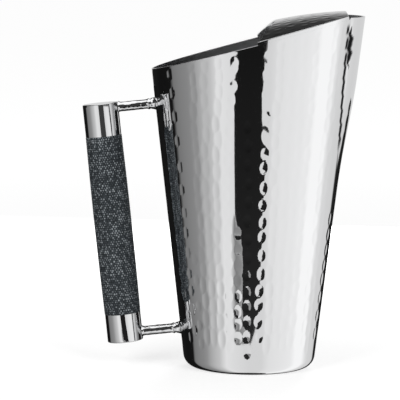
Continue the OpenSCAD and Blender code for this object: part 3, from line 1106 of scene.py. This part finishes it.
# %% Blows on the guard
GUARD_BLOW_HALF_L = 2.9 * MM
GUARD_BLOW_HALF_W = 4.3 * MM
GUARD_BLOW_DEPTH = 0.14 * MM
GUARD_BLOW_SOFTNESS = 0.25
GUARD_BLOW_STEP = 8.6 * MM
GUARD_BLOW_STRAY = 1.4 * MM
GUARD_SIZE_RANGE = (0.9, 1.1)
GUARD_MARKS_FADE = 4 * MM
guard_blows = [
    (i * GUARD_BLOW_STEP + hand.uniform(-GUARD_BLOW_STRAY, GUARD_BLOW_STRAY),
     (j + 0.5 * (i % 2)) * GUARD_BLOW_STEP + hand.uniform(-GUARD_BLOW_STRAY, GUARD_BLOW_STRAY),
     hand.uniform(*GUARD_SIZE_RANGE))
    for i in range(0, 9) for j in range(-9, 10)
]


def guard_depth(ahead, aside):
    """How deep the hammer left the dome, less and less towards its edges."""
    deepest = np.zeros(ahead.shape)
    for x, y, size in guard_blows:
        share = (((ahead - x) / (GUARD_BLOW_HALF_L * size)) ** 2
                 + ((aside - y) / (GUARD_BLOW_HALF_W * size)) ** 2)
        deepest = np.maximum(deepest, bowl(share, GUARD_BLOW_DEPTH * size, GUARD_BLOW_SOFTNESS))
    return deepest


print("blows for the guard, some of them past its edges:", len(guard_blows))

# %% Ice guard
GUARD_ROWS = 86
GUARD_ACROSS = 150
GUARD_ROUND = 0.4 * MM
GUARD_HELD = 0.15 * MM
GUARD_EDGE_SOFT = 0.22 * MM
GUARD_SEAM = 0.012 * MM
GUARD_END_SHARES = (0.0, 0.004, 0.007)
GUARD_NEXT_SHARE = 0.015
BEND_SHARES = (0.25, 0.5, 0.75)


def guard_line(share, side_inset, top_inset, marks):
    """One line over the guard: up one side, across the dome and down the other."""
    corner = (1 - share) * CORNER_AHEAD + share * GUARD_FRONT
    side = float(dome_side(corner, side_inset, top_inset))
    edge_h = float(dome_h(corner, side, top_inset))
    held = GUARD_ROUND + np.array([0, GUARD_HELD])
    middle = np.linspace(-1, 1, GUARD_ACROSS) * (side - held[-1] - GUARD_HELD)
    aside = np.concatenate([held - side, middle, side - held[::-1]])
    across = aside / side
    ahead = (1 - share) * rear_ahead(across * CORNER_SIDE) + share * GUARD_FRONT
    fade = ease((side - np.abs(aside)) / GUARD_MARKS_FADE)
    above = dome_h(ahead, aside, top_inset) - marks * fade * guard_depth(ahead, aside)
    heights = np.array([GUARD_SEAM, edge_h / 2, edge_h - held[1], edge_h - held[0]])
    sides = side_at(corner, heights, side_inset)
    skirt = from_mouth(corner, sides, heights)
    top = from_mouth(ahead, aside, above)
    point = from_mouth(corner, side, edge_h)
    bend = [skirt[-1] * (1 - t) ** 2 + 2 * point * t * (1 - t) + top[-1] * t * t
            for t in BEND_SHARES]
    rising = np.concatenate([skirt, bend])
    mirrored = rising * np.array([1, -1, 1])
    return np.concatenate([mirrored, top, rising[::-1]])


def guard_faces(rows, half):
    """Faces between the loops, and the two thin faces that close the ends."""
    loop = 2 * half
    faces = net_faces(rows, loop)
    for first, turn in ((0, 1), ((rows - 1) * loop, -1)):
        for i in range(half - 1):
            far = loop - 1 - i
            faces.append([first + n for n in (i, far, far - 1, i + 1)][::turn])
    return faces


def make_guard():
    """The guard as loops that run over its top and back under it."""
    ends = np.array(GUARD_END_SHARES)
    middle = np.linspace(GUARD_NEXT_SHARE, 1 - GUARD_NEXT_SHARE, GUARD_ROWS - 2 * len(ends))
    shares = np.concatenate([ends, middle, 1 - ends[::-1]])
    loops = []
    for n, share in enumerate(shares):
        soft = GUARD_EDGE_SOFT if n in (0, GUARD_ROWS - 1) else 0.0
        over = guard_line(share, 0.0, soft, 1.0)
        under = guard_line(share, SHEET_T, GUARD_T, 0.0)
        loops.append(np.concatenate([over, under[::-1]]))
    loops = np.array(loops)
    faces = guard_faces(len(shares), loops.shape[1] // 2)
    return new_mesh("ice_guard_hammered", loops.reshape(-1, 3), faces, guard_steel)


dress(make_guard(), "guard_steel", "ice_guard")

# %% [markdown]
# ## The handle's own frame
# The handle leans with the wall, so its pieces are easier to make upright, from
# its lower end at zero to its upper end, and then set into their place.

# %% Sizes of the handle
HANDLE_R = 12.6 * MM
HANDLE_L = 170 * MM
HANDLE_LEAN = math.radians(6.4)
HANDLE_MID_H = 101.4 * MM
FINGER_GAP = 27 * MM
HANDLE_X = -(wall_r(HANDLE_MID_H) + FINGER_GAP + HANDLE_R / math.cos(HANDLE_LEAN))
UPPER_END_L = 23 * MM
LOWER_END_L = 20 * MM
END_T = 1.1 * MM
END_EDGE_R = 0.6 * MM
DISC_T = 1.5 * MM
BORE_R = HANDLE_R - END_T
CORE_R = BORE_R - SEAM
HANDLE_AHEAD = np.array([math.cos(HANDLE_LEAN), 0.0, math.sin(HANDLE_LEAN)])
HANDLE_UP = np.array([-math.sin(HANDLE_LEAN), 0.0, math.cos(HANDLE_LEAN)])
HANDLE_MIDDLE = np.array([HANDLE_X, 0.0, HANDLE_MID_H])
WAVE_L = 9 * MM
RIPPLE_L = 5 * MM


def from_handle(ahead, aside, along):
    """Points of the room from the handle's frame. Ahead is towards the wall."""
    ahead, aside, along = np.broadcast_arrays(ahead, aside, along)
    return (HANDLE_MIDDLE + ahead[..., None] * HANDLE_AHEAD + aside[..., None] * ASIDE
            + (along - HANDLE_L / 2)[..., None] * HANDLE_UP)


def turned(profile, segments, waves=0.0):
    """Rings from pairs of radius and height, with the slight waves of a hand polish."""
    turn = np.linspace(0, 2 * math.pi, segments, endpoint=False)
    radius, along = np.array(profile).T[..., None]
    ripple = np.sin(3 * turn + along / WAVE_L) + 0.6 * np.sin(7 * turn - along / RIPPLE_L)
    radius = radius + waves * (ripple - 2) * (radius > BORE_R)
    return from_handle(radius * np.cos(turn), radius * np.sin(turn), along)


print("handle stands at x =", round(HANDLE_X / MM, 1), "mm")

# %% [markdown]
# ## Polished ends
# Both ends of the handle are short tubes with a softened outer edge, closed by a
# disc that is welded in and ground flush. They are turned parts, so a ring of
# points swept round the axis is the natural way to make them.

# %% Handle ends
TUBE_SEGMENTS = 144
TUBE_WAVES = 0.008 * MM
EDGE_TURNS = np.radians(np.arange(0, 91, 15))
STRAIGHT_RINGS = 12
BORE_STEP = 2 * MM
DISC_BEVEL = 0.12 * MM
DISC_RINGS = (8 * MM, 4 * MM, 1 * MM)
DISC_DISH = 0.02 * MM


def end_profile(inner_end, outer_end):
    """Section of an end tube, from its plain mouth to its rounded outer edge."""
    out = 1 if outer_end > inner_end else -1
    edge_start = outer_end - out * END_EDGE_R
    straight = [(HANDLE_R, along) for along in
                np.linspace(inner_end, edge_start, STRAIGHT_RINGS, endpoint=False)]
    edge = [(HANDLE_R - END_EDGE_R * (1 - math.cos(turn)),
             edge_start + out * END_EDGE_R * math.sin(turn)) for turn in EDGE_TURNS]
    bore = [(BORE_R, along) for along in (outer_end, outer_end - out * BORE_STEP, inner_end)]
    return straight + edge + bore


def disc_profile(inner_face, outer_face):
    """Section of a disc with a small bevel, almost flat on its outer face."""
    out = 1 if outer_face > inner_face else -1
    outer_ring, *inner_rings = DISC_RINGS
    return [(CORE_R, inner_face), (CORE_R, outer_face - out * DISC_BEVEL),
            (CORE_R - DISC_BEVEL, outer_face), (outer_ring, outer_face),
            *((ring, outer_face - out * DISC_DISH) for ring in inner_rings)]


ends = {
    "upper_end": end_profile(HANDLE_L - UPPER_END_L, HANDLE_L),
    "lower_end": end_profile(LOWER_END_L, 0.0),
}
for node, profile in ends.items():
    tube = ring_net(node + "_tube", turned(profile, TUBE_SEGMENTS, TUBE_WAVES), polished_steel)
    dress(tube, "polished_steel", node)
discs = {
    "upper_disc": disc_profile(HANDLE_L - DISC_T, HANDLE_L),
    "lower_disc": disc_profile(DISC_T, 0.0),
}
for node, profile in discs.items():
    disc = capped_net(node + "_plate", turned(profile, TUBE_SEGMENTS), polished_steel)
    dress(disc, "polished_steel", node)

# %% [markdown]
# ## The leather grip
# The grip is shagreen: dark blue-grey leather covered with small round grains that
# wear lighter on their tops. A bump map would leave its outline smooth, so each
# grain is a little dome in the mesh. Grains grow from points scattered over a
# honeycomb, and every point of the net looks for the grain next to it. The height
# is also stored on the mesh, so that the colour follows the same grains.

# %% Grains
GRAIN_PITCH = 1.78 * MM
GRAIN_RISE = 0.18 * MM
GRAIN_JITTER = 0.16
GRAIN_SIZE_RANGE = (0.42, 0.62)
GRAIN_LIGHT_RANGE = (0.45, 1.0)
SPARE_ROWS = 3
WRAP_PROUD = 0.2 * MM
WRAP_SWELL = 0.5 * MM
WRAP_LOW = LOWER_END_L + SEAM
WRAP_HIGH = HANDLE_L - UPPER_END_L - SEAM
WRAP_MEAN_R = HANDLE_R + WRAP_PROUD + WRAP_SWELL / 2
HONEYCOMB_ROW = math.sqrt(3) / 2
GRAIN_ROW = GRAIN_PITCH * HONEYCOMB_ROW
GRAINS_AROUND = round(2 * math.pi * WRAP_MEAN_R / GRAIN_PITCH)
GRAIN_ROWS = int((WRAP_HIGH - WRAP_LOW) / GRAIN_ROW) + 2 * SPARE_ROWS
skin = np.random.default_rng(5)
grain_off = skin.uniform(-GRAIN_JITTER, GRAIN_JITTER, (2, GRAINS_AROUND, GRAIN_ROWS))
grain_size = skin.uniform(*GRAIN_SIZE_RANGE, (GRAINS_AROUND, GRAIN_ROWS))
grain_light = skin.uniform(*GRAIN_LIGHT_RANGE, (GRAINS_AROUND, GRAIN_ROWS))


def grains(turn, along):
    """Height of the grain at each point, from 0 to 1, and how worn its top is."""
    u = turn / (2 * math.pi) * GRAINS_AROUND
    v = (along - WRAP_LOW) / GRAIN_ROW + SPARE_ROWS
    height = np.zeros(np.broadcast(u, v).shape)
    light = np.zeros(height.shape)
    row = np.floor(v).astype(int)
    for up in (-1, 0, 1, 2):
        j = np.clip(row + up, 0, GRAIN_ROWS - 1)
        column = np.floor(u - 0.5 * (j % 2)).astype(int)
        for side in (-1, 0, 1, 2):
            i = (column + side) % GRAINS_AROUND
            away = u - (column + side + 0.5 * (j % 2) + grain_off[0, i, j])
            rise = (v - (j + grain_off[1, i, j])) * HONEYCOMB_ROW
            dome = 1 - (away ** 2 + rise ** 2) / grain_size[i, j] ** 2
            light = np.where(dome > height, grain_light[i, j], light)
            height = np.maximum(height, dome)
    return height, light


print("grains on the leather:", GRAINS_AROUND * GRAIN_ROWS)

# %% Leather material
VALLEY = (0.010, 0.013, 0.015)
SLOPE = (0.027, 0.034, 0.040)
WORN_TOP = (0.36, 0.39, 0.41)
SLOPE_AT = 0.45
PORE_SCALE = 2600.0
PORE_DEPTH = 0.05 * MM
DYE_SCALE = 70.0
DYE_RANGE = (0.88, 1.1)
VALLEY_ROUGHNESS = 0.72
TOP_ROUGHNESS = 0.42


def leather():
    """Dark valleys and lighter tops, with pores on every grain."""
    material, tree, shader = new_material("shagreen_leather")
    grain = add(tree, "ShaderNodeAttribute", attribute_name="grain").outputs["Fac"]
    place = add(tree, "ShaderNodeTexCoord").outputs["Object"]
    pores = add(tree, "ShaderNodeTexNoise", {"Vector": place, "Scale": PORE_SCALE, "Detail": 3.0})
    dye = add(tree, "ShaderNodeTexNoise", {"Vector": place, "Scale": DYE_SCALE, "Detail": 3.0})
    even = add(tree, "ShaderNodeMapRange", {
        "Value": dye.outputs["Fac"], "From Min": 0.3, "From Max": 0.7,
        "To Min": DYE_RANGE[0], "To Max": DYE_RANGE[1]})
    worn = add(tree, "ShaderNodeMath", {0: grain, 1: even.outputs[0]}, operation="MULTIPLY")
    stops = [(0.0, VALLEY), (SLOPE_AT, SLOPE), (1.0, WORN_TOP)]
    colour = blend_ramp(tree, worn.outputs[0], stops)
    gloss = add(tree, "ShaderNodeMapRange", {
        "Value": worn.outputs[0], "To Min": VALLEY_ROUGHNESS, "To Max": TOP_ROUGHNESS})
    bump = add(tree, "ShaderNodeBump", {
        "Strength": 0.5, "Distance": PORE_DEPTH, "Height": pores.outputs["Fac"]})
    tree.links.new(colour, shader.inputs["Base Color"])
    tree.links.new(gloss.outputs[0], shader.inputs["Roughness"])
    tree.links.new(bump.outputs["Normal"], shader.inputs["Normal"])
    return material


shagreen_leather = leather()
print("worn tops are", round(WORN_TOP[1] / VALLEY[1], 1), "times as light as the valleys")

# %% Leather wrap
WRAP_AROUND = 240
WRAP_ROWS = 384
WRAP_EDGE = 0.35 * MM
WRAP_FADE = 0.8 * MM
SLIT_HALF_W = 0.35 * MM
SLIT_DEPTH = 0.5 * MM
BARE_SHADE = 0.3


def make_wrap():
    """One strip glued round the core, its two edges meeting towards the wall."""
    turn = np.linspace(0, 2 * math.pi, WRAP_AROUND, endpoint=False)[None, :]
    along = np.linspace(WRAP_LOW, WRAP_HIGH, WRAP_ROWS)[:, None]
    share = (along - WRAP_LOW) / (WRAP_HIGH - WRAP_LOW)
    height, light = grains(turn, along)
    near_end = np.minimum(along - WRAP_LOW, WRAP_HIGH - along)
    folded = 1 - np.sqrt(np.clip(1 - np.clip(1 - near_end / WRAP_EDGE, 0, 1) ** 2, 0, 1))
    away = np.abs((turn + math.pi) % (2 * math.pi) - math.pi) * WRAP_MEAN_R
    slit = np.exp(-(away / SLIT_HALF_W) ** 2)
    rise = ease(near_end / WRAP_FADE)
    radius = (HANDLE_R + WRAP_PROUD + WRAP_SWELL * np.sin(math.pi * share)
              + GRAIN_RISE * (height - 1) * rise - WRAP_EDGE * folded - SLIT_DEPTH * slit)
    outside = from_handle(radius * np.cos(turn), radius * np.sin(turn), along)
    inner_r = CORE_R + SEAM
    inside = from_handle(inner_r * np.cos(turn), inner_r * np.sin(turn),
                         np.array([WRAP_HIGH, WRAP_LOW])[:, None])
    rows = np.concatenate([outside, inside])
    wrap = ring_net("leather_wrap_grained", rows, shagreen_leather)
    bare = np.full((len(inside), WRAP_AROUND), BARE_SHADE)
    store(wrap, "grain", np.concatenate([height * light * (1 - slit), bare]))
    return wrap


dress(make_wrap(), "shagreen_leather", "leather_wrap")

# %% [markdown]
# ## Rods and collars
# Two short rods are brazed to the handle's ends, and each has a small flared
# collar on the wall. They are hammered too, so they glitter with little facets.
# Both ends must follow a curved surface, so every point of a ring is led exactly
# as far as the handle on one side and the wall on the other.

# %% Where a rod meets the wall
ROD_R = 3.45 * MM
UPPER_ROD_IN = 3.8 * MM
LOWER_ROD_IN = 5.5 * MM
REACH_STEPS = 8


def wall_ahead(aside, along):
    """How far ahead of the handle's axis a straight line meets the wall."""
    out = HANDLE_X - (along - HANDLE_L / 2) * math.sin(HANDLE_LEAN)
    reach = np.full(np.broadcast(aside, along).shape, FINGER_GAP)
    for _ in range(REACH_STEPS):
        z = (HANDLE_MID_H + reach * math.sin(HANDLE_LEAN)
             + (along - HANDLE_L / 2) * math.cos(HANDLE_LEAN))
        reach = (-np.sqrt(wall_r(z) ** 2 - aside ** 2) - out) / math.cos(HANDLE_LEAN)
    return reach


rods_at = {"upper": HANDLE_L - UPPER_ROD_IN, "lower": LOWER_ROD_IN}
for side, at in rods_at.items():
    print(side, "rod reaches the wall at", round(float(wall_ahead(0.0, at)) / MM, 1), "mm")

# %% Rods
ROD_ROWS = 96
ROD_AROUND = 72
FACET_DEPTH = 0.20 * MM
FACET_HALF = 2.2 * MM
FACET_LONGER = 1.15
FACET_SOFTNESS = 0.2
FACET_PLACES = np.arange(11, 42, 3.3) * MM
FACET_STRAY = 0.9 * MM
FACETS_AROUND = 6
FACET_TURN_STRAY = 16
FACET_SIZE_RANGE = (0.85, 1.2)
BEAD_RISE = 0.50 * MM
BEAD_W = 0.9 * MM
LUMP_RISE = 0.30 * MM
LUMP_AT = 4.6
LUMP_W = 1.1


def rod_depth(turn, ahead, seed):
    """Small hammered facets all round a rod."""
    smith = np.random.default_rng(seed)
    deepest = np.zeros(turn.shape)
    for x in FACET_PLACES:
        for k in range(FACETS_AROUND):
            spot = x + smith.uniform(-FACET_STRAY, FACET_STRAY)
            stray = smith.uniform(-FACET_TURN_STRAY, FACET_TURN_STRAY)
            facing = math.radians(360 / FACETS_AROUND * k + stray)
            size = FACET_HALF * smith.uniform(*FACET_SIZE_RANGE)
            away = ((turn - facing + math.pi) % (2 * math.pi) - math.pi) * ROD_R
            share = (away / size) ** 2 + ((ahead - spot) / (FACET_LONGER * size)) ** 2
            deepest = np.maximum(deepest, bowl(share, FACET_DEPTH, FACET_SOFTNESS))
    return deepest


def make_rod(node, at, seed):
    """A rod from the curve of the handle to the curve of the wall."""
    turn = np.linspace(0, 2 * math.pi, ROD_AROUND, endpoint=False)[None, :]
    share = np.linspace(0, 1, ROD_ROWS)[:, None]
    aside, rise = np.cos(turn), np.sin(turn)
    start = np.sqrt((HANDLE_R + SEAM) ** 2 - (ROD_R * aside) ** 2)
    end = wall_ahead(ROD_R * aside, at + ROD_R * rise) - SEAM
    ahead = start + share * (end - start)
    lumps = 1 + 0.4 * np.sin(3 * turn + seed) + 0.3 * np.sin(5 * turn - 2 * seed)
    bead = BEAD_RISE * lumps * np.exp(-((ahead - start) / BEAD_W) ** 2)
    before_collar = (end - ahead) / MM
    braze = LUMP_RISE * np.exp(-((before_collar - LUMP_AT) / LUMP_W) ** 2)
    braze = braze * (1 + 0.8 * np.sin(4 * turn + before_collar * 1.7))
    radius = ROD_R - rod_depth(turn + 0 * ahead, ahead, seed) + bead + braze
    rows = from_handle(ahead, radius * aside, at + radius * rise)
    rod = capped_net(node + "_hammered", rows, polished_steel)
    dress(rod, "polished_steel", node)


for seed, (side, at) in enumerate(rods_at.items(), start=3):
    make_rod(side + "_stem", at, seed)

# %% Collars
COLLAR_L = 3 * MM
COLLAR_T = 0.35 * MM
COLLAR_FLARE = 1.1 * MM
COLLAR_BORE = ROD_R + SEAM
COLLAR_TURNS = np.radians(np.linspace(0, 90, 11))
COLLAR_WAVE = 0.10 * MM


def make_collar(node, at):
    """A ring of braze that spreads in a hollow curve where it meets the wall."""
    turn = np.linspace(0, 2 * math.pi, ROD_AROUND, endpoint=False)
    rows = []
    for t in COLLAR_TURNS:
        wave = COLLAR_WAVE * (np.sin(4 * turn + 3 * t) + 0.6 * np.sin(9 * turn - 2 * t))
        radius = COLLAR_BORE + COLLAR_T + COLLAR_FLARE * (1 - math.cos(t)) + wave
        rows.append((radius, COLLAR_L * (1 - math.sin(t))))
    bore = np.full(ROD_AROUND, COLLAR_BORE)
    rows += [(bore, 0.0), (bore, COLLAR_L)]
    points = []
    for radius, back in rows:
        aside, rise = radius * np.cos(turn), radius * np.sin(turn)
        points.append(from_handle(wall_ahead(aside, at + rise) - SEAM - back, aside, at + rise))
    collar = ring_net(node + "_brazed", points, polished_steel)
    dress(collar, "polished_steel", node)


for side, at in rods_at.items():
    make_collar(side + "_collar", at)

# %% [markdown]
# ## A narrow flag behind the handle
# A photographer keeps a bright thing out of a mirror with a narrow black card. One
# such card stands upright behind the gap between handle and wall, where only the
# steel sees it. It draws the dark edge of the polished ends.

# %% Flag behind the handle
FLAG_AHEAD = (11, 36)
FLAG_ASIDE = 30
FLAG_ALONG = (-12, 176)
FLAG_LEVEL = 0.08


def rear_flag(name):
    """An upright card in the handle's frame, its corners given in millimetres."""
    lines = [[from_handle(ahead * MM, FLAG_ASIDE * MM, along * MM) for along in FLAG_ALONG]
             for ahead in FLAG_AHEAD]
    return lit_card(name, lines, [[FLAG_LEVEL] * 2] * 2)


rear_flag("gap_flag")
print("the flag is", FLAG_ALONG[1] - FLAG_ALONG[0], "mm tall")

# %% [markdown]
# ## Pieces that stay as they are
# The base plate and the tube inside the grip already have their exact shape in the
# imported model. They keep it and only get their finish.

# %% Base plate and core tube
for node, finish in (("base_plate", hammered_steel), ("core_tube", plain_steel)):
    slots = cad_nodes[node].data.materials
    slots.clear()
    slots.append(finish)
    print(node, "is now", finish.name)
